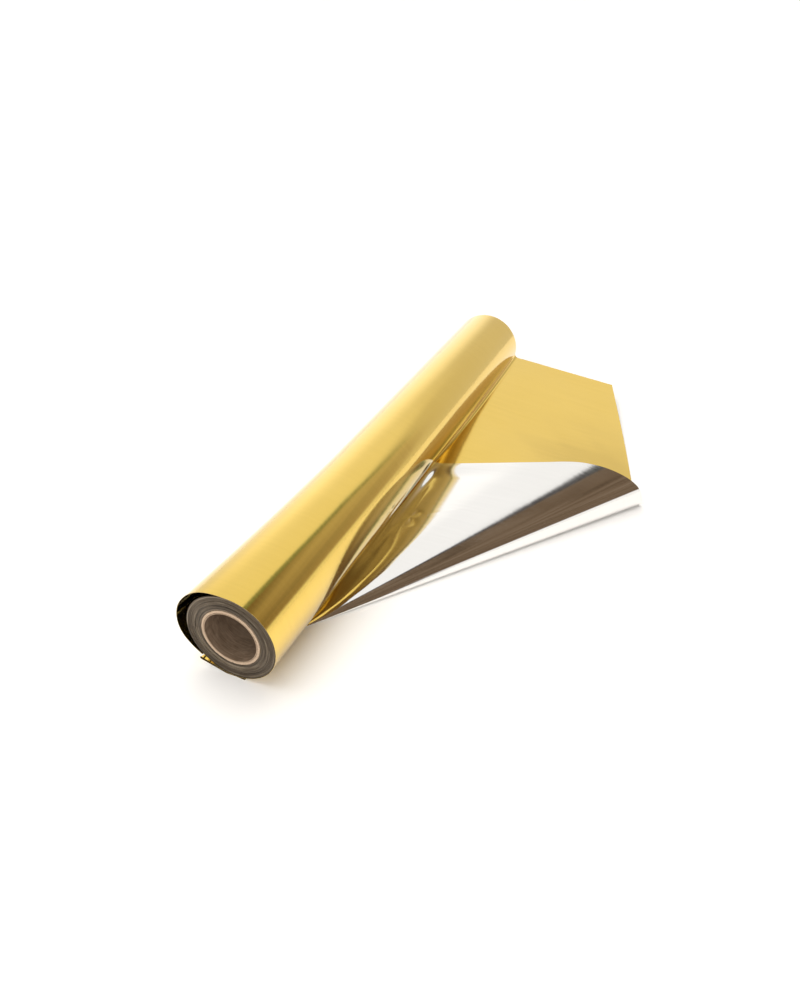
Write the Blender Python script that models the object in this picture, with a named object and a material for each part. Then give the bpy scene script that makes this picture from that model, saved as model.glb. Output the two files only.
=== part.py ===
"""A roll of mirror-gold film on a paper core, with its free end laid out on the floor.

Metres, +Z up. The core's axis runs along +Y. The near end of the web is at y = 0,
and the free end lies towards +X.
"""
import math

import bmesh
import bpy
import numpy as np

MM = 0.001

WEB_WIDTH = 1000.0 * MM
CORE_BORE_RADIUS = 38.1 * MM
CORE_PLY_RADIUS = 39.3 * MM
CORE_OUTER_RADIUS = 43.1 * MM
PACK_RADIUS = 65.6 * MM
LAP_RADIUS = 66.5 * MM
FILM = 0.5 * MM
CLEARANCE = 0.4 * MM
SEAM = 0.4 * MM
AXIS_Z = LAP_RADIUS + FILM + 0.5 * MM

ROUND_SEGMENTS = 96

# The loose lap's stand-off from the pack at the near end, by angle round the roll.
# Angles run from +X over the top, so 180 is the side away from the laid-out sheet.
LAP_TUCK_ANGLE = 224.0
BULGE_ANGLES = (80, 92, 102, 112, 123, 136, 148, 160, 170, 181, 191, 199, 206, 213, 220, 226)
BULGE_HEIGHTS = (0, 0.3, 2.0, 4.7, 7.8, 10.6, 12.6, 14.1, 14.3, 13.8, 12.2, 9.8, 7.0, 4.6, 2.2, 0.8)
BULGE_LENGTH = 390.0 * MM

# Where the web leaves the roll: under it at the near end, on its flank at the far end.
# FLANK_LIFTS are the heights at which it then turns away from the roll.
LEAVE_PLACES = (0.0, 250.0, 400.0, 550.0, 650.0, 800.0, 1000.0)
LEAVE_ANGLES = (-110.0, -107.0, -83.0, -50.0, -35.0, -22.0, -8.0)
FLANK_LIFTS = (0.0, 0.0, 0.0, 10.0, 21.0, 33.0, 48.0)
SHEET_SAG = 1.6
TAIL_LENGTH = 30.0 * MM
TAIL_REACH = 300.0 * MM
LOOP_HEIGHT = 11.0 * MM
LANDING_X = -13.0 * MM
CORNER_LIFT = 24.0 * MM
CORNER_LIFT_START = 700.0 * MM

# Plan of the laid-out sheet.
FOLD_START = (30.0 * MM, 109.0 * MM)
FOLD_END = (400.0 * MM, 620.0 * MM)
FAR_CORNER_X = 279.0 * MM
FREE_EDGE_BOW = 5.0 * MM
NEAR_CORNER_X = 14.0 * MM
NEAR_EDGE_DRIFT = 1.0 * MM

# The turned corner's free edge, from the floor round the curl and over to the roll.
# Each row is how far along the fold, how far across it, and the height, in mm.
CURL_EDGE = (
    (0.0, 0.0, 0.0),
    (-0.8, -9.0, 0.8),
    (-1.3, -15.0, 3.6),
    (-1.5, -16.6, 9.0),
    (-1.8, -15.2, 15.0),
    (-2.4, -13.2, 21.0),
    (-3.8, -11.0, 27.5),
    (-6.8, -8.0, 34.0),
    (-10.9, -3.0, 40.0),
    (-16.3, 4.5, 45.7),
    (-23.5, 14.5, 51.0),
    (-33.5, 28.0, 56.0),
    (-47.0, 43.5, 60.4),
    (-70.0, 64.5, 64.0),
    (-93.0, 80.5, 64.6),
    (-120.0, 98.0, 63.0),
    (-155.5, 126.0, 58.5),
    (-190.0, 157.5, 52.0),
    (-224.0, 191.5, 44.5),
    (-248.0, 217.0, 38.8),
    (-266.0, 238.0, 34.5),
)
CURL_FIRST = 0.05
CURL_REST = 0.1 * MM
ROLL_CLEARANCE = 0.7 * MM
FLAP_CLEARANCE = 1.3 * MM


def clear_scene():
    for obj in list(bpy.data.objects):
        bpy.data.objects.remove(obj, do_unlink=True)


def material(name, colour, metallic, roughness):
    mat = bpy.data.materials.new(name)
    mat.use_nodes = True
    shader = mat.node_tree.nodes["Principled BSDF"]
    shader.inputs["Base Color"].default_value = (*colour, 1.0)
    shader.inputs["Metallic"].default_value = metallic
    shader.inputs["Roughness"].default_value = roughness
    return mat


def finish_object(name, bm, mat, smooth_angle):
    bmesh.ops.recalc_face_normals(bm, faces=bm.faces)
    mesh = bpy.data.meshes.new(name)
    bm.to_mesh(mesh)
    bm.free()
    obj = bpy.data.objects.new(name, mesh)
    bpy.context.collection.objects.link(obj)
    obj.data.materials.append(mat)
    mesh.shade_smooth()
    mesh.set_sharp_from_angle(angle=math.radians(smooth_angle))
    return obj


def revolve(name, profile, mat):
    """Turns a closed (radius, y) profile about the core's axis."""
    bm = bmesh.new()
    rings = []
    for step in range(ROUND_SEGMENTS):
        angle = 2.0 * math.pi * step / ROUND_SEGMENTS
        ring = []
        for radius, y in profile:
            x = radius * math.cos(angle)
            z = AXIS_Z + radius * math.sin(angle)
            ring.append(bm.verts.new((x, y, z)))
        rings.append(ring)
    count = len(profile)
    for step in range(ROUND_SEGMENTS):
        this_ring = rings[step]
        next_ring = rings[(step + 1) % ROUND_SEGMENTS]
        for i in range(count):
            j = (i + 1) % count
            bm.faces.new((this_ring[i], this_ring[j], next_ring[j], next_ring[i]))
    return finish_object(name, bm, mat, 30.0)


def thin_solid(name, grid, mat):
    """Gives a grid of mid-surface points the film's thickness and closes its rim."""
    points = np.array(grid, dtype=float)
    along_rows = np.gradient(points, axis=0)
    along_columns = np.gradient(points, axis=1)
    normals = np.cross(along_rows, along_columns)
    normals /= np.linalg.norm(normals, axis=2, keepdims=True)
    upper = points + normals * (FILM / 2.0)
    lower = points - normals * (FILM / 2.0)
    rows, columns = points.shape[:2]
    bm = bmesh.new()
    sides = []
    for side in (upper, lower):
        sides.append([[bm.verts.new(side[r, c]) for c in range(columns)] for r in range(rows)])
    top, bottom = sides
    for r in range(rows - 1):
        for c in range(columns - 1):
            bm.faces.new((top[r][c], top[r + 1][c], top[r + 1][c + 1], top[r][c + 1]))
            bm.faces.new((bottom[r][c], bottom[r][c + 1], bottom[r + 1][c + 1], bottom[r + 1][c]))
    for r in range(rows - 1):
        for c in (0, columns - 1):
            bm.faces.new((top[r][c], top[r + 1][c], bottom[r + 1][c], bottom[r][c]))
    for c in range(columns - 1):
        for r in (0, rows - 1):
            bm.faces.new((top[r][c], top[r][c + 1], bottom[r][c + 1], bottom[r][c]))
    return finish_object(name, bm, mat, 50.0)


def smooth_curve(knots, values, at):
    """A monotone-spaced cubic through the knots, flat at both ends."""
    knots = np.array(knots, dtype=float)
    values = np.array(values, dtype=float)
    slopes = np.gradient(values, knots)
    slopes[0] = 0.0
    i = int(np.clip(np.searchsorted(knots, at) - 1, 0, len(knots) - 2))
    span = knots[i + 1] - knots[i]
    t = float(np.clip((at - knots[i]) / span, 0.0, 1.0))
    h00 = 2 * t ** 3 - 3 * t ** 2 + 1
    h10 = t ** 3 - 2 * t ** 2 + t
    h01 = -2 * t ** 3 + 3 * t ** 2
    h11 = t ** 3 - t ** 2
    return h00 * values[i] + h10 * span * slopes[i] + h01 * values[i + 1] + h11 * span * slopes[i + 1]


def lap_bulge(angle, y):
    """How far the loose lap stands off the pack at this angle and place along the roll."""
    if angle <= BULGE_ANGLES[0]:
        return 0.0
    fade = max(0.0, 1.0 - y / BULGE_LENGTH) ** 1.5
    return max(0.0, smooth_curve(BULGE_ANGLES, BULGE_HEIGHTS, angle)) * MM * fade


def leave_angle(y):
    return smooth_curve(LEAVE_PLACES, LEAVE_ANGLES, y / MM)


def lap_point(angle, y):
    radius = LAP_RADIUS - FILM / 2.0 + lap_bulge(angle, y)
    turn = math.radians(angle)
    return (radius * math.cos(turn), y, AXIS_Z + radius * math.sin(turn))


def loop_height(y):
    """Height of the lower layer where the web has just turned back on itself."""
    near = LOOP_HEIGHT * max(0.0, 1.0 - y / TAIL_REACH) ** 2
    far = max(0.0, smooth_curve(LEAVE_PLACES, FLANK_LIFTS, y / MM)) * MM
    return FILM / 2.0 + near + far


def far_height(y):
    share = max(0.0, (y - CORNER_LIFT_START) / (WEB_WIDTH - CORNER_LIFT_START))
    return FILM / 2.0 + CORNER_LIFT * share ** 2


def right_boundary(y):
    """Where the laid-out sheet stops: its near corner, the fold, then the free edge."""
    if y <= FOLD_START[1]:
        share = y / FOLD_START[1]
        return NEAR_CORNER_X + (FOLD_START[0] - NEAR_CORNER_X) * share
    if y <= FOLD_END[1]:
        share = (y - FOLD_START[1]) / (FOLD_END[1] - FOLD_START[1])
        return FOLD_START[0] + (FOLD_END[0] - FOLD_START[0]) * share
    share = (y - FOLD_END[1]) / (WEB_WIDTH - FOLD_END[1])
    bow = FREE_EDGE_BOW * math.sin(math.pi * share)
    return FOLD_END[0] + (FAR_CORNER_X - FOLD_END[0]) * share + bow


def sheet_row(y):
    """One line of the free web, from where it leaves the roll to its free edge."""
    angle = math.radians(leave_angle(y))
    start = lap_point(leave_angle(y), y)
    heading = angle - math.pi / 2.0
    step = (math.cos(heading), math.sin(heading))
    tail = TAIL_LENGTH * max(0.0, 1.0 - y / TAIL_REACH) ** 2
    row = []
    for i in range(4):
        reach = SEAM + (tail - SEAM) * i / 4.0 if tail > 2 * SEAM else SEAM * (1 + i / 8.0)
        row.append((start[0] + step[0] * reach, y, start[2] + step[1] * reach))
    last = max(tail, 1.6 * SEAM)
    x0 = start[0] + step[0] * last
    z0 = start[2] + step[1] * last
    out = -math.radians(6.0 * smooth_curve(LEAVE_PLACES, FLANK_LIFTS, y / MM) / FLANK_LIFTS[-1])
    if y < TAIL_REACH:
        out = -math.atan((loop_height(y) - FILM / 2.0) / (LANDING_X - x0))
    turn_from = heading + 2.0 * math.pi if heading < -math.pi else heading
    turn_from = math.atan2(math.sin(turn_from), math.cos(turn_from))
    if turn_from > 0.0:
        turn_from -= 2.0 * math.pi
    drop = z0 - loop_height(y)
    radius = drop / (math.cos(out) - math.cos(turn_from))
    for i in range(9):
        t = turn_from + (out - turn_from) * i / 8.0
        x = x0 + radius * (math.sin(t) - math.sin(turn_from))
        z = z0 - radius * (math.cos(t) - math.cos(turn_from))
        row.append((x, y, z))
    return row, out


def free_sheet_grid():
    stations = list(np.linspace(0.0, FOLD_START[1], 7))
    stations += list(np.linspace(FOLD_START[1], FOLD_END[1], 27))[1:]
    stations += list(np.linspace(FOLD_END[1], WEB_WIDTH, 14))[1:]
    grid = []
    for y in stations:
        row, out = sheet_row(y)
        x0, _, z0 = row[-1]
        folded = FOLD_START[1] <= y <= FOLD_END[1]
        x1 = right_boundary(y) - (SEAM if folded else 0.0)
        z1 = far_height(y)
        count = 22
        for i in range(1, count + 1):
            t = i / count
            share = t ** 1.25
            x = x0 + (x1 - x0) * share
            run = x - x0
            ramp = z0 + math.tan(out) * run
            sag = 1.0 + (SHEET_SAG - 1.0) * min(1.0, 4.0 * (1.0 - y / WEB_WIDTH))
            level = z1 + (z0 - z1) * (1.0 - share) ** sag
            if y < TAIL_REACH:
                z = max(FILM / 2.0, ramp)
            else:
                z = max(FILM / 2.0, level)
            drift = -NEAR_EDGE_DRIFT * max(0.0, x / NEAR_CORNER_X)
            drift *= max(0.0, 1.0 - y / FOLD_START[1])
            row.append((x, y + drift, z))
        grid.append(row)
    return grid


def curl_edge_point(share):
    """A point on the turned corner's free edge, and how far it is round the curl."""
    knots = np.arange(len(CURL_EDGE), dtype=float)
    table = np.array(CURL_EDGE)
    at = share * (len(CURL_EDGE) - 1)
    return [smooth_curve(knots, table[:, k], at) * MM for k in range(3)]


def corner_point(k, share):
    """A point on the turned corner: k along the fold from its start, share round its free edge."""
    fold = np.array([FOLD_END[0] - FOLD_START[0], FOLD_END[1] - FOLD_START[1]])
    length = float(np.linalg.norm(fold))
    along = fold / length
    across = np.array([-along[1], along[0]])
    edge = curl_edge_point(share)
    lift = min(1.0, max(0.0, share - 0.03) / 0.25)
    lift = lift * lift * (3 - 2 * lift)
    front = -0.9 * MM * math.exp(-((share - 0.2) / 0.1) ** 2)
    sideways = edge[1] * k + front * (1 - k) - SEAM / 2.0
    place = along * (length + edge[0]) * k + across * sideways
    z = FILM / 2.0 + CURL_REST + edge[2] * k + FLAP_CLEARANCE * lift * (1 - 0.5 * k)
    return (FOLD_START[0] + place[0], FOLD_START[1] + place[1], z)


def roll_limit(k):
    """How far round the corner can go at k before it meets the roll's flank."""
    keep_out = LAP_RADIUS + FILM / 2.0 + ROLL_CLEARANCE
    last = 0.5
    for share in np.linspace(0.5, 1.0, 201):
        x, _, z = corner_point(k, float(share))
        if math.hypot(x, z - AXIS_Z) < keep_out:
            break
        last = float(share)
    return last


def turned_corner_grid():
    grid = []
    for k in np.linspace(CURL_FIRST, 1.0, 20):
        limit = roll_limit(k)
        curl = list(np.linspace(0.0, 0.5, 25))
        flap = list(np.linspace(0.5, limit, 15))[1:]
        grid.append([corner_point(k, share) for share in curl + flap])
    return grid


def pack_profile():
    """The wound pack's outline: laps that stand a little proud of or behind their neighbours."""
    inner = CORE_OUTER_RADIUS + CLEARANCE
    edges = np.linspace(inner, PACK_RADIUS, 8)
    near_set = (0.9, 1.6, 0.7, 1.3, 2.0, 1.1, 0.6)
    far_set = (1.0, 0.6, 1.5, 0.9, 1.8, 1.2, 0.7)
    profile = []
    for i in range(7):
        profile.append((edges[i], near_set[i] * MM))
        profile.append((edges[i + 1], near_set[i] * MM))
    for i in reversed(range(7)):
        profile.append((edges[i + 1], WEB_WIDTH - far_set[i] * MM))
        profile.append((edges[i], WEB_WIDTH - far_set[i] * MM))
    return profile


def tube_profile(inner, outer):
    return [(inner, 0.0), (outer, 0.0), (outer, WEB_WIDTH), (inner, WEB_WIDTH)]


def outer_lap_grid():
    grid = []
    stations = list(np.linspace(0.0, LEAVE_PLACES[1] * MM, 7))
    stations += list(np.linspace(LEAVE_PLACES[1] * MM, LEAVE_PLACES[4] * MM, 19))[1:]
    stations += list(np.linspace(LEAVE_PLACES[4] * MM, WEB_WIDTH, 9))[1:]
    count = 60
    for y in stations:
        end = leave_angle(y)
        row = []
        for i in range(count + 1):
            angle = LAP_TUCK_ANGLE + (end - LAP_TUCK_ANGLE) * i / count
            row.append(lap_point(angle, y))
        grid.append(row)
    return grid


def stand_on_origin(objects):
    """Moves the part so the origin is under its middle, on the floor."""
    corners = np.array([vert.co for obj in objects for vert in obj.data.vertices])
    low = corners.min(axis=0)
    high = corners.max(axis=0)
    shift = (-(low[0] + high[0]) / 2.0, -(low[1] + high[1]) / 2.0, -low[2])
    for obj in objects:
        for vert in obj.data.vertices:
            vert.co.x += shift[0]
            vert.co.y += shift[1]
            vert.co.z += shift[2]
        obj.data.update()


def build():
    clear_scene()
    kraft = material("kraft_core", (0.50, 0.36, 0.25), 0.0, 0.85)
    kraft_dark = material("kraft_liner", (0.40, 0.28, 0.20), 0.0, 0.85)
    wound = material("wound_film", (0.45, 0.38, 0.30), 0.3, 0.5)
    gold = material("gold_film", (0.83, 0.62, 0.22), 1.0, 0.15)
    gold_sheet = material("gold_sheet", (0.85, 0.66, 0.28), 1.0, 0.15)
    silver = material("silver_back", (0.80, 0.80, 0.79), 1.0, 0.12)
    outer_plies = tube_profile(CORE_PLY_RADIUS + 0.3 * MM, CORE_OUTER_RADIUS)
    made = [
        revolve("core_inner_ply", tube_profile(CORE_BORE_RADIUS, CORE_PLY_RADIUS), kraft_dark),
        revolve("core_outer_plies", outer_plies, kraft),
        revolve("film_pack", pack_profile(), wound),
        thin_solid("outer_lap", outer_lap_grid(), gold),
        thin_solid("free_sheet", free_sheet_grid(), gold_sheet),
        thin_solid("turned_corner", turned_corner_grid(), silver),
    ]
    stand_on_origin(made)


build()
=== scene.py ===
import math

import bpy
import numpy as np
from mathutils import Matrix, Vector, noise


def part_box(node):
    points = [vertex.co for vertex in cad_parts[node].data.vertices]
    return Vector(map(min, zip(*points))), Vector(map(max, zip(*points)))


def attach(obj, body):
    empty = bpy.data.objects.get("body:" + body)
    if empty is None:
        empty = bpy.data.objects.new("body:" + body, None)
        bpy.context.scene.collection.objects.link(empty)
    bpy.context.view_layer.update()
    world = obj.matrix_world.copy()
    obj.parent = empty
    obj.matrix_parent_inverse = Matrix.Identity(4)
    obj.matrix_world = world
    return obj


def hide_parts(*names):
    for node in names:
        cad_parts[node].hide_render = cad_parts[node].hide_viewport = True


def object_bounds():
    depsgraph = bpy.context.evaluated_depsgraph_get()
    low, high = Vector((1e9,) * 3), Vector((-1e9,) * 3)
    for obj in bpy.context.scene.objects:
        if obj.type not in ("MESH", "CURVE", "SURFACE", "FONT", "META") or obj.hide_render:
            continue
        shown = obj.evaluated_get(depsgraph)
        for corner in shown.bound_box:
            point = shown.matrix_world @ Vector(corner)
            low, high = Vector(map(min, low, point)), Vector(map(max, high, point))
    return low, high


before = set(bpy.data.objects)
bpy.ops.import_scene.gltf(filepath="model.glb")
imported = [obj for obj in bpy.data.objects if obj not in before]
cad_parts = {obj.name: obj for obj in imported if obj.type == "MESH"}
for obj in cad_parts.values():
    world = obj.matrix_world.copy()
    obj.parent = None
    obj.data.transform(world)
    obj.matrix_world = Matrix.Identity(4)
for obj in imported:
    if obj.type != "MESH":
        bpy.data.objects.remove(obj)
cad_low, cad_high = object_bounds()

MM = 0.001

# ---------------------------------------------------------------- the roll's own frame
# x = 0 on the roll's axis, y = 0 at its near end, z = 0 on the floor.

bore_low, bore_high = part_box("core_inner_ply")
AXIS_X = (bore_low.x + bore_high.x) / 2.0
AXIS_Z = (bore_low.z + bore_high.z) / 2.0
NEAR_Y = bore_low.y
WEB_WIDTH = bore_high.y - bore_low.y

CORE_BORE_RADIUS = 38.1 * MM
CORE_PLY_RADIUS = 39.3 * MM
CORE_OUTER_RADIUS = 43.1 * MM
PACK_RADIUS = 65.6 * MM
LAP_RADIUS = 66.5 * MM
FILM = 0.5 * MM
FILM_SHOWN = 0.36 * MM

# The loose lap's stand-off from the pack at the near end, by angle round the roll.
# From 123 to 220 degrees the heights follow a scratch program's output, worked out from points picked
# on the photo, and rounded. The others are given one by one.
LAP_TUCK_ANGLE = 224.0
BULGE_ANGLES = (80, 92, 102, 112, 123, 136, 148, 160, 170, 181, 191, 199, 206, 213, 220, 226)
BULGE_HEIGHTS = (0, 0.3, 2.0, 4.7, 7.8, 10.6, 12.6, 14.1, 14.3, 13.8, 12.2, 9.8, 7.0, 4.6, 2.2, 0.8)
BULGE_LENGTH = 390.0 * MM

# Where the web leaves the roll: under it at the near end, on its flank at the far end.
# FLANK_LIFTS are the heights (mm) at which it turns away from the roll, by place along it (mm).
# FLANK_DIP is how far it slopes down there at the far end, in degrees.
LEAVE_PLACES = (0.0, 250.0, 400.0, 550.0, 650.0, 800.0, 1000.0)
LEAVE_ANGLES = (-110.0, -107.0, -83.0, -50.0, -35.0, -22.0, -8.0)
FLANK_LIFTS = (0.0, 0.0, 0.0, 10.0, 21.0, 33.0, 48.0)
SHEET_SAG = 1.6
FLANK_DIP = 6.0
TAIL_LENGTH = 30.0 * MM
TAIL_LEAST = 0.6 * MM
TAIL_REACH = 300.0 * MM
LOOP_HEIGHT = 11.0 * MM
LANDING_X = -13.0 * MM
CORNER_LIFT = 24.0 * MM
CORNER_LIFT_START = 700.0 * MM

# Plan of the laid-out sheet.
FOLD_START = (30.0 * MM, 109.0 * MM)
FOLD_END = (400.0 * MM, 620.0 * MM)
FAR_CORNER_X = 279.0 * MM
FREE_EDGE_BOW = 5.0 * MM
NEAR_CORNER_X = 14.0 * MM
NEAR_EDGE_DRIFT = 1.0 * MM

# The turned corner's free edge: along the fold, across it, and the height, in mm.
# Most rows follow a scratch program's output, worked out from points picked on the photo with
# guessed heights, and were then moved a little by hand.
CURL_EDGE = (
    (0.0, 0.0, 0.0),
    (-0.8, -9.0, 0.8),
    (-1.3, -15.0, 3.6),
    (-1.5, -16.6, 9.0),
    (-1.8, -15.2, 15.0),
    (-2.4, -13.2, 21.0),
    (-3.8, -11.0, 27.5),
    (-6.8, -8.0, 34.0),
    (-10.9, -3.0, 40.0),
    (-16.3, 4.5, 45.7),
    (-23.5, 14.5, 51.0),
    (-33.5, 28.0, 56.0),
    (-47.0, 43.5, 60.4),
    (-70.0, 64.5, 64.0),
    (-93.0, 80.5, 64.6),
    (-120.0, 98.0, 63.0),
    (-155.5, 126.0, 58.5),
    (-190.0, 157.5, 52.0),
    (-224.0, 191.5, 44.5),
    (-248.0, 217.0, 38.8),
    (-266.0, 238.0, 34.5),
)
# Only a sliver of the corner is left out at the fold's near end.
CURL_FIRST = 0.012
ROLL_CLEARANCE = 0.7 * MM
FLAP_CLEARANCE = 1.3 * MM
FLAP_LEAN = 6.0 * MM

LAP_WAVE = 0.10 * MM
SHEET_WAVE = 0.9 * MM
SHEET_RIPPLE = 0.3 * MM
FLAP_WAVE = 0.10 * MM


def placed(points):
    """Roll frame to the shared frame."""
    return np.asarray(points, float) + np.array([AXIS_X, NEAR_Y, 0.0])


def smooth_curve(knots, values, at):
    """A cubic through the knots, flat at its first end; at may be an array."""
    knots = np.asarray(knots, float)
    values = np.asarray(values, float)
    slopes = np.gradient(values, knots)
    slopes[0] = 0.0
    i = np.clip(np.searchsorted(knots, at) - 1, 0, len(knots) - 2)
    span = knots[i + 1] - knots[i]
    t = np.clip((at - knots[i]) / span, 0.0, 1.0)
    h00 = 2 * t ** 3 - 3 * t ** 2 + 1
    h10 = t ** 3 - 2 * t ** 2 + t
    h01 = -2 * t ** 3 + 3 * t ** 2
    h11 = t ** 3 - t ** 2
    return h00 * values[i] + h10 * span * slopes[i] + h01 * values[i + 1] + h11 * span * slopes[i + 1]


def smooth_step(low, high, value):
    t = np.clip((value - low) / (high - low), 0.0, 1.0)
    return t * t * (3 - 2 * t)


# ---------------------------------------------------------------- mesh helpers

def mesh_object(name, points, faces, materials, smooth_angle=40.0):
    mesh = bpy.data.meshes.new(name)
    mesh.from_pydata([tuple(p) for p in points], [], faces)
    mesh.update()
    obj = bpy.data.objects.new(name, mesh)
    bpy.context.scene.collection.objects.link(obj)
    for mat in materials:
        mesh.materials.append(mat)
    mesh.shade_smooth()
    mesh.set_sharp_from_angle(angle=math.radians(smooth_angle))
    return obj


def grid_faces(rows, columns):
    faces = []
    for r in range(rows - 1):
        for c in range(columns - 1):
            a = r * columns + c
            faces.append((a, a + columns, a + columns + 1, a + 1))
    return faces


def film_object(name, grid, gold, silver, edge):
    """A film of real thickness from its mid-surface: silver on one side, gold on the other."""
    points = np.array(grid, float)
    rows, columns = points.shape[:2]
    normals = np.cross(np.gradient(points, axis=0), np.gradient(points, axis=1))
    normals /= np.maximum(np.linalg.norm(normals, axis=2, keepdims=True), 1e-12)
    upper = placed(points + normals * (FILM_SHOWN / 2.0)).reshape(-1, 3)
    lower = placed(points - normals * (FILM_SHOWN / 2.0)).reshape(-1, 3)
    count = rows * columns
    top = grid_faces(rows, columns)
    faces = list(top)
    faces += [tuple(i + count for i in reversed(face)) for face in top]
    rim = [(r, 0) for r in range(rows)] + [(rows - 1, c) for c in range(1, columns)]
    rim += [(r, columns - 1) for r in range(rows - 2, -1, -1)]
    rim += [(0, c) for c in range(columns - 2, 0, -1)]
    for i, (r, c) in enumerate(rim):
        s, d = rim[(i + 1) % len(rim)]
        a, b = r * columns + c, s * columns + d
        faces.append((a, a + count, b + count, b))
    obj = mesh_object(name, np.vstack([upper, lower]), faces, (silver, gold, edge))
    kinds = [0] * len(top) + [1] * len(top) + [2] * len(rim)
    obj.data.polygons.foreach_set("material_index", kinds)
    return obj


def tube(name, outline, segments, materials, ripple=None, face_material=None, smooth_angle=40.0):
    """Turns a closed (radius, y) outline about the roll's axis. ripple moves each point a little."""
    points = []
    for step in range(segments):
        angle = 2.0 * math.pi * step / segments
        for radius, y in outline:
            if ripple:
                radius, y = ripple(radius, y, angle)
            points.append((radius * math.cos(angle), y, AXIS_Z + radius * math.sin(angle)))
    count = len(outline)
    faces = []
    for step in range(segments):
        here = step * count
        there = ((step + 1) % segments) * count
        for i in range(count):
            j = (i + 1) % count
            faces.append((here + i, there + i, there + j, here + j))
    obj = mesh_object(name, placed(points), faces, materials, smooth_angle)
    mesh = obj.data
    if face_material:
        for face in mesh.polygons:
            face.material_index = face_material(face)
    return obj


# ---------------------------------------------------------------- materials

def new_material(name):
    mat = bpy.data.materials.new(name)
    mat.use_nodes = True
    nodes = mat.node_tree.nodes
    return mat, nodes, mat.node_tree.links, nodes["Principled BSDF"]


def scaled_coords(nodes, links, scale, turn=0.0):
    where = nodes.new("ShaderNodeTexCoord")
    mapping = nodes.new("ShaderNodeMapping")
    mapping.inputs["Scale"].default_value = scale
    mapping.inputs["Rotation"].default_value = (0.0, 0.0, turn)
    links.new(where.outputs["Object"], mapping.inputs["Vector"])
    return mapping.outputs["Vector"]


def noise_node(nodes, links, vector, scale, detail=3.0, rough=0.5):
    node = nodes.new("ShaderNodeTexNoise")
    node.inputs["Scale"].default_value = scale
    node.inputs["Detail"].default_value = detail
    node.inputs["Roughness"].default_value = rough
    links.new(vector, node.inputs["Vector"])
    return node.outputs["Fac"]


def ramp(nodes, links, fac, stops):
    node = nodes.new("ShaderNodeValToRGB")
    elements = node.color_ramp.elements
    while len(elements) < len(stops):
        elements.new(0.5)
    for element, (place, colour) in zip(elements, stops):
        element.position = place
        element.color = (*colour, 1.0)
    links.new(fac, node.inputs["Fac"])
    return node.outputs["Color"]


def to_range(nodes, links, value, low, high, from_low=0.0, from_high=1.0):
    node = nodes.new("ShaderNodeMapRange")
    node.inputs["From Min"].default_value = from_low
    node.inputs["From Max"].default_value = from_high
    node.inputs["To Min"].default_value = low
    node.inputs["To Max"].default_value = high
    links.new(value, node.inputs["Value"])
    return node.outputs["Result"]


def math_node(nodes, links, operation, first, second=None):
    node = nodes.new("ShaderNodeMath")
    node.operation = operation
    for socket, value in zip(node.inputs, (first, second)):
        if value is None:
            continue
        if isinstance(value, (int, float)):
            socket.default_value = value
        else:
            links.new(value, socket)
    return node.outputs[0]


def bump(nodes, links, height, strength, distance, normal=None):
    node = nodes.new("ShaderNodeBump")
    node.inputs["Strength"].default_value = strength
    node.inputs["Distance"].default_value = distance
    links.new(height, node.inputs["Height"])
    if normal is not None:
        links.new(normal, node.inputs["Normal"])
    return node.outputs["Normal"]


def film_material(name, pale, deep, roughness, coat=0.0, turn=0.0, streak=1.0):
    """Metallised film: faint lines along the web, faint wide patches and a fine grain."""
    mat, nodes, links, shader = new_material(name)
    shader.inputs["Metallic"].default_value = 1.0
    shader.inputs["Coat Weight"].default_value = coat
    shader.inputs["Coat Roughness"].default_value = 0.12
    lines = noise_node(nodes, links, scaled_coords(nodes, links, (6.0, 260.0, 6.0), turn), 1.0, 4.0)
    patches = noise_node(nodes, links, scaled_coords(nodes, links, (1.0, 1.0, 1.0)), 7.0, 2.0)
    grain = noise_node(nodes, links, scaled_coords(nodes, links, (1.0, 1.0, 1.0)), 900.0, 2.0)
    mixed = math_node(nodes, links, "ADD", math_node(nodes, links, "MULTIPLY", lines, 0.5),
                      math_node(nodes, links, "MULTIPLY", patches, 0.5))
    links.new(ramp(nodes, links, mixed, ((0.3, deep), (0.7, pale))), shader.inputs["Base Color"])
    rough = to_range(nodes, links, mixed, roughness[0], roughness[1], 0.3, 0.7)
    links.new(rough, shader.inputs["Roughness"])
    first = bump(nodes, links, lines, 0.07 * streak, 0.0004)
    second = bump(nodes, links, patches, 0.25, 0.0012, first)
    third = bump(nodes, links, grain, 0.02, 0.0002, second)
    links.new(third, shader.inputs["Normal"])
    return mat


def edge_material():
    """The cut edge of the film, and the thin bright line it draws."""
    mat, nodes, links, shader = new_material("film_cut_edge")
    shader.inputs["Metallic"].default_value = 0.6
    shader.inputs["Roughness"].default_value = 0.35
    grain = noise_node(nodes, links, scaled_coords(nodes, links, (1.0, 1.0, 1.0)), 240.0)
    stops = ((0.35, (0.42, 0.28, 0.09)), (0.65, (0.80, 0.62, 0.28)))
    links.new(ramp(nodes, links, grain, stops), shader.inputs["Base Color"])
    return mat


def radius_of(nodes, links):
    """Distance from the roll's axis, in metres."""
    where = nodes.new("ShaderNodeTexCoord")
    parts = nodes.new("ShaderNodeSeparateXYZ")
    links.new(where.outputs["Object"], parts.inputs["Vector"])
    x = math_node(nodes, links, "SUBTRACT", parts.outputs["X"], AXIS_X)
    z = math_node(nodes, links, "SUBTRACT", parts.outputs["Z"], AXIS_Z)
    xx = math_node(nodes, links, "MULTIPLY", x, x)
    zz = math_node(nodes, links, "MULTIPLY", z, z)
    return math_node(nodes, links, "SQRT", math_node(nodes, links, "ADD", xx, zz)), x, z, parts


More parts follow.
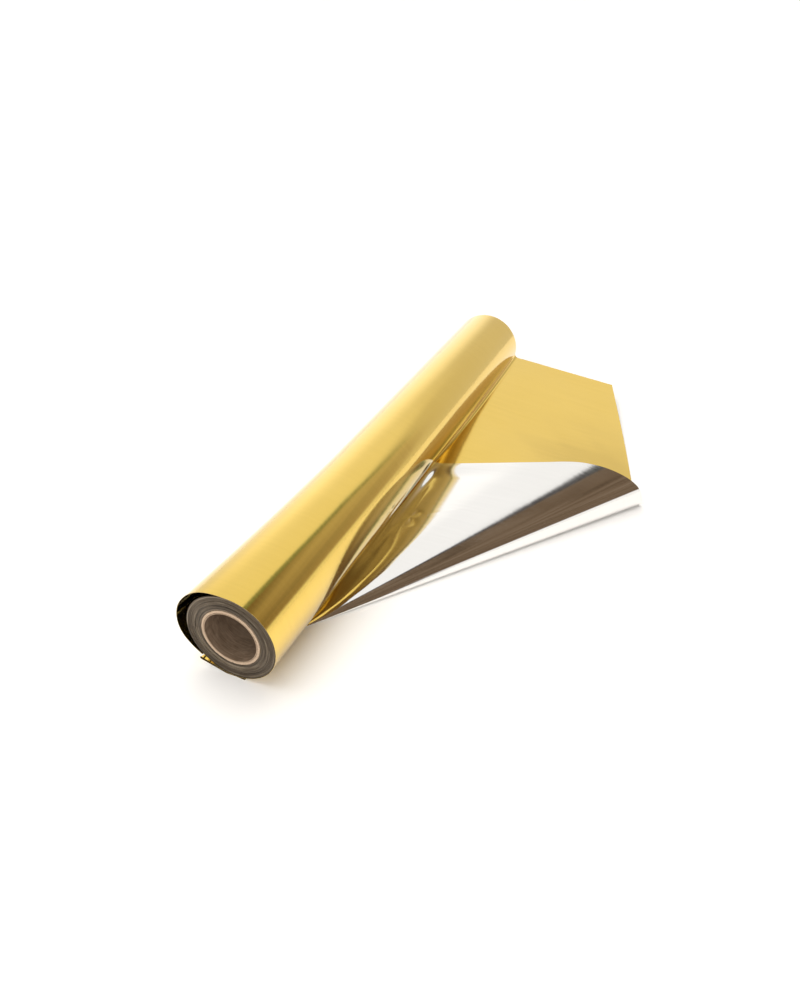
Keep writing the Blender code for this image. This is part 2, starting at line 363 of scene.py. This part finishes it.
def wound_material():
    """The pack's end: many laps of film seen edge on, in bands of different dullness."""
    mat, nodes, links, shader = new_material("wound_edges")
    radius, x, z, _ = radius_of(nodes, links)
    ring = nodes.new("ShaderNodeCombineXYZ")
    links.new(radius, ring.inputs["X"])
    turn = math_node(nodes, links, "ARCTAN2", z, x)
    links.new(math_node(nodes, links, "MULTIPLY", turn, 0.0006), ring.inputs["Y"])
    fine = noise_node(nodes, links, ring.outputs["Vector"], 2600.0, 5.0, 0.7)
    broad = noise_node(nodes, links, ring.outputs["Vector"], 420.0, 3.0)
    mixed = math_node(nodes, links, "ADD", math_node(nodes, links, "MULTIPLY", fine, 0.6),
                      math_node(nodes, links, "MULTIPLY", broad, 0.4))
    stops = ((0.36, (0.018, 0.012, 0.007)), (0.46, (0.062, 0.044, 0.027)),
             (0.54, (0.130, 0.096, 0.062)), (0.64, (0.34, 0.28, 0.20)))
    links.new(ramp(nodes, links, mixed, stops), shader.inputs["Base Color"])
    shader.inputs["Metallic"].default_value = 0.35
    links.new(to_range(nodes, links, broad, 0.38, 0.62), shader.inputs["Roughness"])
    links.new(bump(nodes, links, fine, 0.5, 0.0006), shader.inputs["Normal"])
    return mat


def kraft_material(name, dark, mid, pale, rim):
    """Spirally wound board: long slanted fibres, mottling, and a speckled rim at the ends."""
    mat, nodes, links, shader = new_material(name)
    radius, x, z, parts = radius_of(nodes, links)
    turn = math_node(nodes, links, "ARCTAN2", z, x)
    unrolled = nodes.new("ShaderNodeCombineXYZ")
    links.new(math_node(nodes, links, "MULTIPLY", turn, 0.040), unrolled.inputs["X"])
    links.new(parts.outputs["Y"], unrolled.inputs["Y"])
    links.new(radius, unrolled.inputs["Z"])
    slanted = nodes.new("ShaderNodeMapping")
    slanted.inputs["Rotation"].default_value = (0.0, 0.0, math.radians(28.0))
    slanted.inputs["Scale"].default_value = (60.0, 900.0, 900.0)
    links.new(unrolled.outputs["Vector"], slanted.inputs["Vector"])
    fibre = noise_node(nodes, links, slanted.outputs["Vector"], 1.0, 4.0, 0.6)
    mottle = noise_node(nodes, links, unrolled.outputs["Vector"], 70.0, 4.0)
    speck = noise_node(nodes, links, unrolled.outputs["Vector"], 1500.0, 2.0)
    mixed = math_node(nodes, links, "ADD", math_node(nodes, links, "MULTIPLY", fibre, 0.45),
                      math_node(nodes, links, "MULTIPLY", mottle, 0.35))
    mixed = math_node(nodes, links, "ADD", mixed, math_node(nodes, links, "MULTIPLY", speck, 0.2))
    wall = ramp(nodes, links, mixed, ((0.35, dark), (0.5, mid), (0.65, pale)))
    geometry = nodes.new("ShaderNodeNewGeometry")
    facing = nodes.new("ShaderNodeSeparateXYZ")
    links.new(geometry.outputs["True Normal"], facing.inputs["Vector"])
    end = math_node(nodes, links, "ABSOLUTE", facing.outputs["Y"])
    mix = nodes.new("ShaderNodeMix")
    mix.data_type = "RGBA"
    links.new(math_node(nodes, links, "GREATER_THAN", end, 0.5), mix.inputs["Factor"])
    links.new(wall, mix.inputs["A"])
    links.new(ramp(nodes, links, speck, ((0.3, mid), (0.55, rim))), mix.inputs["B"])
    links.new(mix.outputs["Result"], shader.inputs["Base Color"])
    shader.inputs["Roughness"].default_value = 0.85
    shader.inputs["Specular IOR Level"].default_value = 0.25
    links.new(bump(nodes, links, mixed, 0.5, 0.0008), shader.inputs["Normal"])
    return mat


# ---------------------------------------------------------------- the film

def lap_bulge(angle, y):
    fade = np.maximum(0.0, 1.0 - y / BULGE_LENGTH) ** 1.5
    height = np.maximum(0.0, smooth_curve(BULGE_ANGLES, BULGE_HEIGHTS, angle))
    return np.where(angle <= BULGE_ANGLES[0], 0.0, height) * MM * fade


def leave_angle(y):
    return float(smooth_curve(LEAVE_PLACES, LEAVE_ANGLES, y / MM))


def lap_radius(angle, y):
    return LAP_RADIUS - FILM / 2.0 + lap_bulge(angle, y)


def lap_point(angle, y):
    radius = lap_radius(angle, y)
    turn = np.radians(angle)
    return radius * np.cos(turn), AXIS_Z + radius * np.sin(turn)


def flank_lift(y):
    """How high the web turns away from the roll's flank at y, in mm."""
    return float(smooth_curve(LEAVE_PLACES, FLANK_LIFTS, y / MM))


def loop_height(y):
    near = LOOP_HEIGHT * max(0.0, 1.0 - y / TAIL_REACH) ** 2
    far = max(0.0, flank_lift(y)) * MM
    return FILM / 2.0 + near + far


def far_height(y):
    share = max(0.0, (y - CORNER_LIFT_START) / (WEB_WIDTH - CORNER_LIFT_START))
    return FILM / 2.0 + CORNER_LIFT * share ** 2


def right_boundary(y):
    if y <= FOLD_START[1]:
        share = y / FOLD_START[1]
        return NEAR_CORNER_X + (FOLD_START[0] - NEAR_CORNER_X) * share
    if y <= FOLD_END[1]:
        share = (y - FOLD_START[1]) / (FOLD_END[1] - FOLD_START[1])
        return FOLD_START[0] + (FOLD_END[0] - FOLD_START[0]) * share
    share = (y - FOLD_END[1]) / (WEB_WIDTH - FOLD_END[1])
    bow = FREE_EDGE_BOW * math.sin(math.pi * share)
    return FOLD_END[0] + (FAR_CORNER_X - FOLD_END[0]) * share + bow


LAP_COLUMNS = 150
TAIL_COLUMNS = 6
TURN_COLUMNS = 22
SHEET_COLUMNS = 110


def sheet_row(y):
    """The free web at y, from where it leaves the roll to its right edge: x and z."""
    angle = math.radians(leave_angle(y))
    start_x, start_z = lap_point(leave_angle(y), y)
    heading = angle - math.pi / 2.0
    step_x, step_z = math.cos(heading), math.sin(heading)
    tail = max(TAIL_LENGTH * max(0.0, 1.0 - y / TAIL_REACH) ** 2, TAIL_LEAST)
    reach = tail * np.arange(1, TAIL_COLUMNS + 1) / TAIL_COLUMNS
    tail_x = start_x + step_x * reach
    tail_z = start_z + step_z * reach
    x0, z0 = tail_x[-1], tail_z[-1]
    out = -math.radians(FLANK_DIP * flank_lift(y) / FLANK_LIFTS[-1])
    if y < TAIL_REACH:
        out = -math.atan((loop_height(y) - FILM / 2.0) / (LANDING_X - x0))
    turn_from = math.atan2(math.sin(heading), math.cos(heading))
    if turn_from > 0.0:
        turn_from -= 2.0 * math.pi
    radius = (z0 - loop_height(y)) / (math.cos(out) - math.cos(turn_from))
    t = turn_from + (out - turn_from) * np.arange(1, TURN_COLUMNS + 1) / TURN_COLUMNS
    turn_x = x0 + radius * (np.sin(t) - math.sin(turn_from))
    turn_z = z0 - radius * (np.cos(t) - math.cos(turn_from))
    x0, z0 = turn_x[-1], turn_z[-1]
    share = (np.arange(1, SHEET_COLUMNS + 1) / SHEET_COLUMNS) ** 1.15
    x = x0 + (right_boundary(y) - x0) * share
    if y < TAIL_REACH:
        z = np.maximum(FILM / 2.0, z0 + math.tan(out) * (x - x0))
    else:
        sag = 1.0 + (SHEET_SAG - 1.0) * min(1.0, 4.0 * (1.0 - y / WEB_WIDTH))
        z = np.maximum(FILM / 2.0, far_height(y) + (z0 - far_height(y)) * (1.0 - share) ** sag)
    return np.concatenate([tail_x, turn_x, x]), np.concatenate([tail_z, turn_z, z])


def web_stations():
    near = np.linspace(0.0, FOLD_START[1], 30)
    middle = np.linspace(FOLD_START[1], FOLD_END[1], 110)[1:]
    far = np.linspace(FOLD_END[1], WEB_WIDTH, 80)[1:]
    return np.concatenate([near, middle, far])


def soft_noise(x, y, z, size):
    return noise.noise(Vector((x / size, y / size, z / size)))


def crease(x, y, start, end, height, width):
    """A ridge or furrow along a line in plan, fading towards both of its ends."""
    along = np.array([end[0] - start[0], end[1] - start[1]])
    length = np.linalg.norm(along)
    along /= length
    run = (x - start[0]) * along[0] + (y - start[1]) * along[1]
    side = abs((x - start[0]) * -along[1] + (y - start[1]) * along[0])
    share = np.clip(run / length, 0.0, 1.0)
    beyond = np.maximum(0.0, np.maximum(-run, run - length))
    spread = width * (0.25 + share)
    fall = np.exp(-(side / spread) ** 1.5) * np.exp(-(beyond / width) ** 2)
    return height * fall * np.sin(math.pi * (0.15 + 0.85 * share))


def web_grid():
    """Mid-surface of the lap and the laid-out sheet, one row for each place along the roll."""
    grid = []
    for y in web_stations():
        angles = np.linspace(LAP_TUCK_ANGLE, leave_angle(y), LAP_COLUMNS)
        row = []
        for i, angle in enumerate(angles):
            radius = lap_radius(angle, y)
            slack = smooth_step(0.0, 1.0, np.sin(math.pi * i / (LAP_COLUMNS - 1)))
            wave = LAP_WAVE * soft_noise(angle / 90.0, y * 6.0, 0.3, 1.0)
            wave += LAP_WAVE * soft_noise(angle / 34.0 + y * 9.0, y * 3.0, 4.1, 1.0)
            radius += wave * slack
            turn = math.radians(angle)
            row.append((radius * math.cos(turn), y, AXIS_Z + radius * math.sin(turn)))
        for x, z in zip(*sheet_row(y)):
            drift = -NEAR_EDGE_DRIFT * max(0.0, x / NEAR_CORNER_X) * max(0.0, 1.0 - y / FOLD_START[1])
            laid = smooth_step(0.02, 0.14, x)
            lift = SHEET_WAVE * (0.5 + 0.5 * soft_noise(x * 1.6 + y, y * 1.1, 2.0, 0.11))
            lift += SHEET_RIPPLE * (0.5 + 0.5 * soft_noise(x + y * 0.6, y * 0.8, 7.0, 0.035))
            row.append((x, y + drift, z + lift * laid))
        grid.append(row)
    return grid


def curl_edge_point(share):
    knots = np.arange(len(CURL_EDGE), dtype=float)
    table = np.array(CURL_EDGE)
    at = share * (len(CURL_EDGE) - 1)
    return [smooth_curve(knots, table[:, k], at) * MM for k in range(3)]


def corner_point(k, share):
    """A point on the turned corner: k along the fold from its start, share round its free edge."""
    fold = np.array([FOLD_END[0] - FOLD_START[0], FOLD_END[1] - FOLD_START[1]])
    length = float(np.linalg.norm(fold))
    along = fold / length
    across = np.array([-along[1], along[0]])
    edge = curl_edge_point(share)
    lift = smooth_step(0.03, 0.28, share)
    front = -0.9 * MM * math.exp(-((share - 0.2) / 0.1) ** 2)
    sideways = edge[1] * k + front * (1 - k)
    place = along * (length + edge[0]) * k + across * sideways
    z = FILM / 2.0 + edge[2] * k + FLAP_CLEARANCE * lift * (1 - 0.5 * k)
    return FOLD_START[0] + place[0], FOLD_START[1] + place[1], z


def roll_limit(k):
    """How far round the corner can go at k before it meets the roll's flank."""
    keep_out = LAP_RADIUS + FILM / 2.0 + ROLL_CLEARANCE
    last = 0.5
    for share in np.linspace(0.5, 1.0, 201):
        x, _, z = corner_point(k, float(share))
        if math.hypot(x, z - AXIS_Z) < keep_out:
            break
        last = float(share)
    return last


CRUMPLE = (80.0 * MM, 390.0 * MM)


def crumple(x, y):
    """The pinched dent beside the roll and the creases that run out of it."""
    cx, cy = CRUMPLE
    height = crease(x, y, (cx, cy), (cx - 3 * MM, cy + 90 * MM), 0.8 * MM, 13 * MM)
    height += crease(x, y, (cx, cy), (cx - 12 * MM, cy - 80 * MM), 0.8 * MM, 12 * MM)
    height += crease(x, y, (cx, cy), (cx + 16 * MM, cy - 26 * MM), -0.8 * MM, 8 * MM)
    height += crease(x, y, (cx, cy), (cx + 14 * MM, cy + 18 * MM), -0.85 * MM, 8 * MM)
    height += crease(x, y, (cx + 15 * MM, cy + 5 * MM), (cx + 190 * MM, cy + 82 * MM), 0.12 * MM, 4 * MM)
    return height


CORNER_ROWS = 150
CURL_COLUMNS = 130
FLAP_COLUMNS = 110


def corner_grid():
    """Mid-surface of the turned-over corner, one row for each place along its fold."""
    grid = []
    for k in np.linspace(CURL_FIRST, 1.0, CORNER_ROWS):
        limit = roll_limit(k)
        shares = np.concatenate([np.linspace(0.0, 0.5, CURL_COLUMNS),
                                 np.linspace(0.5, limit, FLAP_COLUMNS)[1:]])
        row = []
        for share in shares:
            x, y, z = corner_point(k, float(share))
            flat = smooth_step(0.55, 0.75, share)
            inward = smooth_step(0.0, 14 * MM, math.hypot(x, z - AXIS_Z) - LAP_RADIUS)
            wave = FLAP_WAVE * soft_noise(x * 0.6, y * 1.2, 3.0, 0.09) * k
            ripple = FLAP_WAVE * soft_noise(share * 9.0, k * 2.0, 5.0, 1.0) * k
            lean = smooth_step(0.78, 0.97, share) * (1.0 - 0.7 * smooth_step(0.9, 1.0, k))
            z -= FLAP_LEAN * lean * k * inward
            curl_ripple = (1.0 - flat) * ripple * smooth_step(0.1, 0.2, share)
            z += flat * inward * (crumple(x, y) + wave) + curl_ripple
            row.append((x, y, z))
        grid.append(row)
    return grid


def make_film():
    gold = film_material("mirror_gold", (0.86, 0.60, 0.12), (0.81, 0.555, 0.10), (0.09, 0.16), 0.75)
    silver = film_material("mirror_silver", (0.93, 0.92, 0.90), (0.89, 0.88, 0.86), (0.06, 0.14), 0.0,
                           math.radians(-24.0), 1.6)
    edge = edge_material()
    web = web_grid()
    film_web = film_object("film_web", web, gold, silver, edge)
    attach(film_web, "web")
    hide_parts("outer_lap", "free_sheet")
    corner = corner_grid()
    film_corner = film_object("film_corner", corner, gold, silver, edge)
    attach(film_corner, "web")
    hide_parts("turned_corner")


# ---------------------------------------------------------------- the wound pack and the core

PACK_RINGS = 58


def make_pack():
    """The laps seen at the ends, each a little proud of or behind its neighbours."""
    inner = CORE_OUTER_RADIUS + 0.4 * MM
    edges = np.linspace(inner, PACK_RADIUS, PACK_RINGS + 1)
    outline = []
    for end, sign, seed in ((0.0, 1.0, 1.7), (WEB_WIDTH, -1.0, 9.2)):
        rings = []
        for i in range(PACK_RINGS):
            step = 0.9 + 0.9 * soft_noise(i * 0.21, seed, 0.0, 1.0)
            step += 0.5 * soft_noise(i * 0.83, seed, 3.0, 1.0)
            depth = max(0.3, step) * MM
            rings.append((edges[i] + 0.01 * MM, end + sign * depth))
            rings.append((edges[i + 1] - 0.01 * MM, end + sign * depth))
        outline += rings if sign > 0 else rings[::-1]

    def uneven(radius, y, angle):
        shift = 0.12 * MM * soft_noise(radius * 300.0, math.cos(angle), math.sin(angle), 1.0)
        return radius, y + (shift if y < WEB_WIDTH / 2 else -shift)

    def side_or_end(face):
        centre = math.hypot(face.center.x - AXIS_X, face.center.z - AXIS_Z)
        return 1 if abs(face.normal.y) < 0.3 and centre > PACK_RADIUS - 0.2 * MM else 0

    gold = film_material("mirror_gold_under", (0.86, 0.60, 0.11), (0.80, 0.55, 0.09), (0.12, 0.22), 0.5)
    pack = tube("pack_wound", outline[::-1], 224, (wound_material(), gold), uneven, side_or_end)
    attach(pack, "roll")
    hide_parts("film_pack")


def tube_outline(inner, outer, round_off, rows):
    """A tube's wall with slightly bevelled rims, and rows along its length for the seam."""
    stations = np.concatenate([
        np.linspace(0.0, 6 * MM, 5), np.linspace(6 * MM, WEB_WIDTH - 6 * MM, rows)[1:-1],
        np.linspace(WEB_WIDTH - 6 * MM, WEB_WIDTH, 5)])
    body = stations[(stations > round_off) & (stations < WEB_WIDTH - round_off)]
    outline = [(inner + round_off, 0.0), (outer - round_off, 0.0), (outer, round_off)]
    outline += [(outer, y) for y in body]
    outline += [(outer, WEB_WIDTH - round_off), (outer - round_off, WEB_WIDTH)]
    outline += [(inner + round_off, WEB_WIDTH), (inner, WEB_WIDTH - round_off)]
    outline += [(inner, y) for y in body[::-1]]
    outline += [(inner, round_off)]
    return outline[::-1]


def make_core():
    seam_pitch = 118 * MM

    def liner_ripple(radius, y, angle):
        if radius < CORE_BORE_RADIUS + 0.4 * MM:
            turn = (y / seam_pitch + angle / (2 * math.pi)) % 1.0
            seam = math.exp(-((turn - 0.5) * seam_pitch / (1.6 * MM)) ** 2)
            radius += 0.3 * MM * seam
        if y < 2 * MM or y > WEB_WIDTH - 2 * MM:
            ragged = soft_noise(math.cos(angle) * 16.0, math.sin(angle) * 16.0, y * 2.0, 1.0)
            radius += 0.25 * MM * ragged
        return radius, y

    def ply_ripple(radius, y, angle):
        if y < 2 * MM or y > WEB_WIDTH - 2 * MM:
            ragged = soft_noise(math.cos(angle) * 22.0, math.sin(angle) * 22.0, radius * 900.0, 1.0)
            y += 0.6 * MM * ragged if y < WEB_WIDTH / 2 else -0.6 * MM * ragged
        return radius, y

    # The liner's tones are darker than the board's: painted shade of the bore's inside, over the paper's
    # own fibres, mottling and speckled rim.
    liner = kraft_material("kraft_liner_painted_shade", (0.11, 0.072, 0.045), (0.19, 0.130, 0.084),
                           (0.28, 0.20, 0.14), (0.40, 0.29, 0.20))
    board = kraft_material("kraft_core_board", (0.20, 0.135, 0.085), (0.33, 0.235, 0.155),
                           (0.40, 0.28, 0.19), (0.50, 0.37, 0.26))
    inner = tube("core_liner_tube", tube_outline(CORE_BORE_RADIUS, CORE_PLY_RADIUS, 0.25 * MM, 120),
                 144, (liner,), liner_ripple)
    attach(inner, "roll")
    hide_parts("core_inner_ply")
    board_outline = tube_outline(CORE_PLY_RADIUS + 0.3 * MM, CORE_OUTER_RADIUS, 0.5 * MM, 30)
    outer = tube("core_board_tube", board_outline, 192, (board,), ply_ripple)
    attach(outer, "roll")
    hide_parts("core_outer_plies")


# ---------------------------------------------------------------- studio

CAMERA_PLACE = (503.7 * MM, -614.7 * MM, 796.0 * MM)
CAMERA_YAW = 23.72
CAMERA_PITCH = 33.85
CAMERA_LENS = 30.005
KEY_DIRECTION = (-0.22, 0.26, 0.94)
KEY_POWER = 1.9
KEY_ANGLE = 70.0
FRONT_PLACE = (0.5, -2.1, 1.1)
FRONT_POWER = 16.0
FLOOR_HALF = 60.0
SCREEN_EDGE = 48.0
SCREEN_LEAN = 0.55


def make_camera():
    data = bpy.data.cameras.new("view_camera")
    data.lens = CAMERA_LENS
    data.sensor_width = 36.0
    data.clip_start = 0.02
    data.clip_end = 200.0
    camera = bpy.data.objects.new("view_camera", data)
    bpy.context.scene.collection.objects.link(camera)
    camera.location = Vector(placed([CAMERA_PLACE])[0])
    yaw, pitch = math.radians(CAMERA_YAW), math.radians(CAMERA_PITCH)
    level = math.cos(pitch)
    forward = Vector((-math.sin(yaw) * level, math.cos(yaw) * level, -math.sin(pitch)))
    camera.rotation_mode = "QUATERNION"
    camera.rotation_quaternion = forward.to_track_quat("-Z", "Y")
    bpy.context.scene.camera = camera


def make_floor():
    mat, nodes, links, shader = new_material("pale_floor")
    haze = noise_node(nodes, links, scaled_coords(nodes, links, (1.0, 1.0, 1.0)), 1.3, 2.0)
    stops = ((0.3, (0.86, 0.855, 0.845)), (0.7, (0.875, 0.87, 0.86)))
    links.new(ramp(nodes, links, haze, stops), shader.inputs["Base Color"])
    shader.inputs["Roughness"].default_value = 0.75
    shader.inputs["Specular IOR Level"].default_value = 0.15
    corners = [(-FLOOR_HALF, -FLOOR_HALF, 0), (FLOOR_HALF, -FLOOR_HALF, 0),
               (FLOOR_HALF, FLOOR_HALF, 0), (-FLOOR_HALF, FLOOR_HALF, 0)]
    floor = mesh_object("floor", corners, [(0, 1, 2, 3)], (mat,))
    floor.location.z = cad_low.z - 0.15 * MM


def mix_colours(nodes, links, factor, first, second):
    node = nodes.new("ShaderNodeMix")
    node.data_type = "RGBA"
    for socket, value in (("Factor", factor), ("A", first), ("B", second)):
        if isinstance(value, tuple):
            node.inputs[socket].default_value = (*value, 1.0)
        else:
            links.new(value, node.inputs[socket])
    return node.outputs["Result"]


def step_node(nodes, links, value, low, high, falling=False):
    out = to_range(nodes, links, value, 1.0 if falling else 0.0, 0.0 if falling else 1.0, low, high)
    out.node.interpolation_type = "SMOOTHSTEP"
    return out


def make_world():
    """A white studio: a large bright screen behind the roll, and the dim room to the right of it.

    Angles are in degrees: azimuth from +X towards +Y, height above the horizon.
    """
    world = bpy.data.worlds.new("studio")
    bpy.context.scene.world = world
    world.use_nodes = True
    nodes, links = world.node_tree.nodes, world.node_tree.links
    background = nodes["Background"]
    where = nodes.new("ShaderNodeTexCoord")
    parts = nodes.new("ShaderNodeSeparateXYZ")
    links.new(where.outputs["Generated"], parts.inputs["Vector"])
    radians = math_node(nodes, links, "ARCTAN2", parts.outputs["Y"], parts.outputs["X"])
    azimuth = math_node(nodes, links, "MULTIPLY", radians, 180.0 / math.pi)
    height = math_node(nodes, links, "MULTIPLY",
                       math_node(nodes, links, "ARCSINE", parts.outputs["Z"]), 180.0 / math.pi)

    # The screen: brightest behind the roll, dimmer to the left.
    glow = math_node(nodes, links, "MULTIPLY", step_node(nodes, links, azimuth, 96.0, 118.0),
                     step_node(nodes, links, height, 18.0, 42.0, falling=True))
    bright = mix_colours(nodes, links, glow, (1.0, 0.985, 0.96), (1.32, 1.29, 1.24))
    far_left = step_node(nodes, links, azimuth, 129.0, 146.0)
    bright = mix_colours(nodes, links, far_left, bright, (0.90, 0.885, 0.86))

    # The screen is dimmer at the foot of its right-hand side.
    foot = math_node(nodes, links, "MULTIPLY",
                     step_node(nodes, links, azimuth, 90.0, 107.0, falling=True),
                     step_node(nodes, links, height, 30.0, 38.0, falling=True))
    bright = mix_colours(nodes, links, foot, bright, (0.76, 0.735, 0.70))

    # The room: streaked brown, and paler low down towards the screen.
    streak_place = nodes.new("ShaderNodeCombineXYZ")
    links.new(math_node(nodes, links, "MULTIPLY", azimuth, 0.014), streak_place.inputs["X"])
    links.new(math_node(nodes, links, "MULTIPLY", height, 0.16), streak_place.inputs["Y"])
    streaks = noise_node(nodes, links, streak_place.outputs["Vector"], 2.2, 4.0)
    brown = ramp(nodes, links, streaks, ((0.30, (0.05, 0.031, 0.017)), (0.50, (0.17, 0.113, 0.068)),
                                         (0.72, (0.27, 0.20, 0.14))))
    toward_screen = to_range(nodes, links, azimuth, 0.0, 1.0, 30.0, 76.0)
    low_down = step_node(nodes, links, height, 30.0, 52.0, falling=True)
    paler = math_node(nodes, links, "MULTIPLY", toward_screen, low_down)
    room = mix_colours(nodes, links, paler, brown, (0.84, 0.78, 0.70))

    # The screen's edge leans away from the room as it rises, and has a dark frame.
    edge = math_node(nodes, links, "ADD", math_node(nodes, links, "MULTIPLY", height, SCREEN_LEAN),
                     SCREEN_EDGE)
    past_edge = math_node(nodes, links, "SUBTRACT", azimuth, edge)
    on_screen = step_node(nodes, links, past_edge, -1.2, 1.2)
    frame_tint = mix_colours(nodes, links, step_node(nodes, links, height, 50.0, 58.0),
                             (0.24, 0.30, 0.22), (0.075, 0.07, 0.07))
    frame_width = to_range(nodes, links, height, 1.5, 9.0, 28.0, 56.0)
    into_room = math_node(nodes, links, "DIVIDE", past_edge, frame_width)
    frame_mask = math_node(nodes, links, "MULTIPLY", step_node(nodes, links, into_room, -1.3, -0.9),
                           step_node(nodes, links, height, 22.0, 30.0))
    room = mix_colours(nodes, links, frame_mask, room, frame_tint)

    # Behind the camera, and close above the horizon, the studio is white again.
    near_side = step_node(nodes, links, azimuth, -52.0, -36.0)
    skirting = step_node(nodes, links, height, 3.0, 8.0)
    mask = math_node(nodes, links, "MULTIPLY", near_side, skirting)
    dim = mix_colours(nodes, links, mask, (1.0, 0.985, 0.96), room)
    links.new(mix_colours(nodes, links, on_screen, dim, bright), background.inputs["Color"])
    background.inputs["Strength"].default_value = 1.0


def soft_lamp(name, place, aim, size, power):
    data = bpy.data.lights.new(name, "AREA")
    data.shape = "RECTANGLE"
    data.size, data.size_y = size
    data.energy = power
    lamp = bpy.data.objects.new(name, data)
    bpy.context.scene.collection.objects.link(lamp)
    lamp.location = place
    lamp.rotation_mode = "QUATERNION"
    lamp.rotation_quaternion = (Vector(aim) - Vector(place)).to_track_quat("-Z", "Y")
    lamp.visible_glossy = False
    lamp.visible_camera = False


def make_lights():
    data = bpy.data.lights.new("key", "SUN")
    data.energy = KEY_POWER
    data.angle = math.radians(KEY_ANGLE)
    data.color = (1.0, 0.985, 0.955)
    key = bpy.data.objects.new("key", data)
    bpy.context.scene.collection.objects.link(key)
    key.rotation_mode = "QUATERNION"
    key.rotation_quaternion = (-Vector(KEY_DIRECTION)).to_track_quat("-Z", "Y")
    key.visible_glossy = False
    soft_lamp("front", FRONT_PLACE, (AXIS_X, NEAR_Y, AXIS_Z), (0.9, 0.9), FRONT_POWER)


make_film()
make_pack()
make_core()
make_camera()
make_floor()
make_world()
make_lights()
bpy.context.scene.view_settings.view_transform = "Standard"
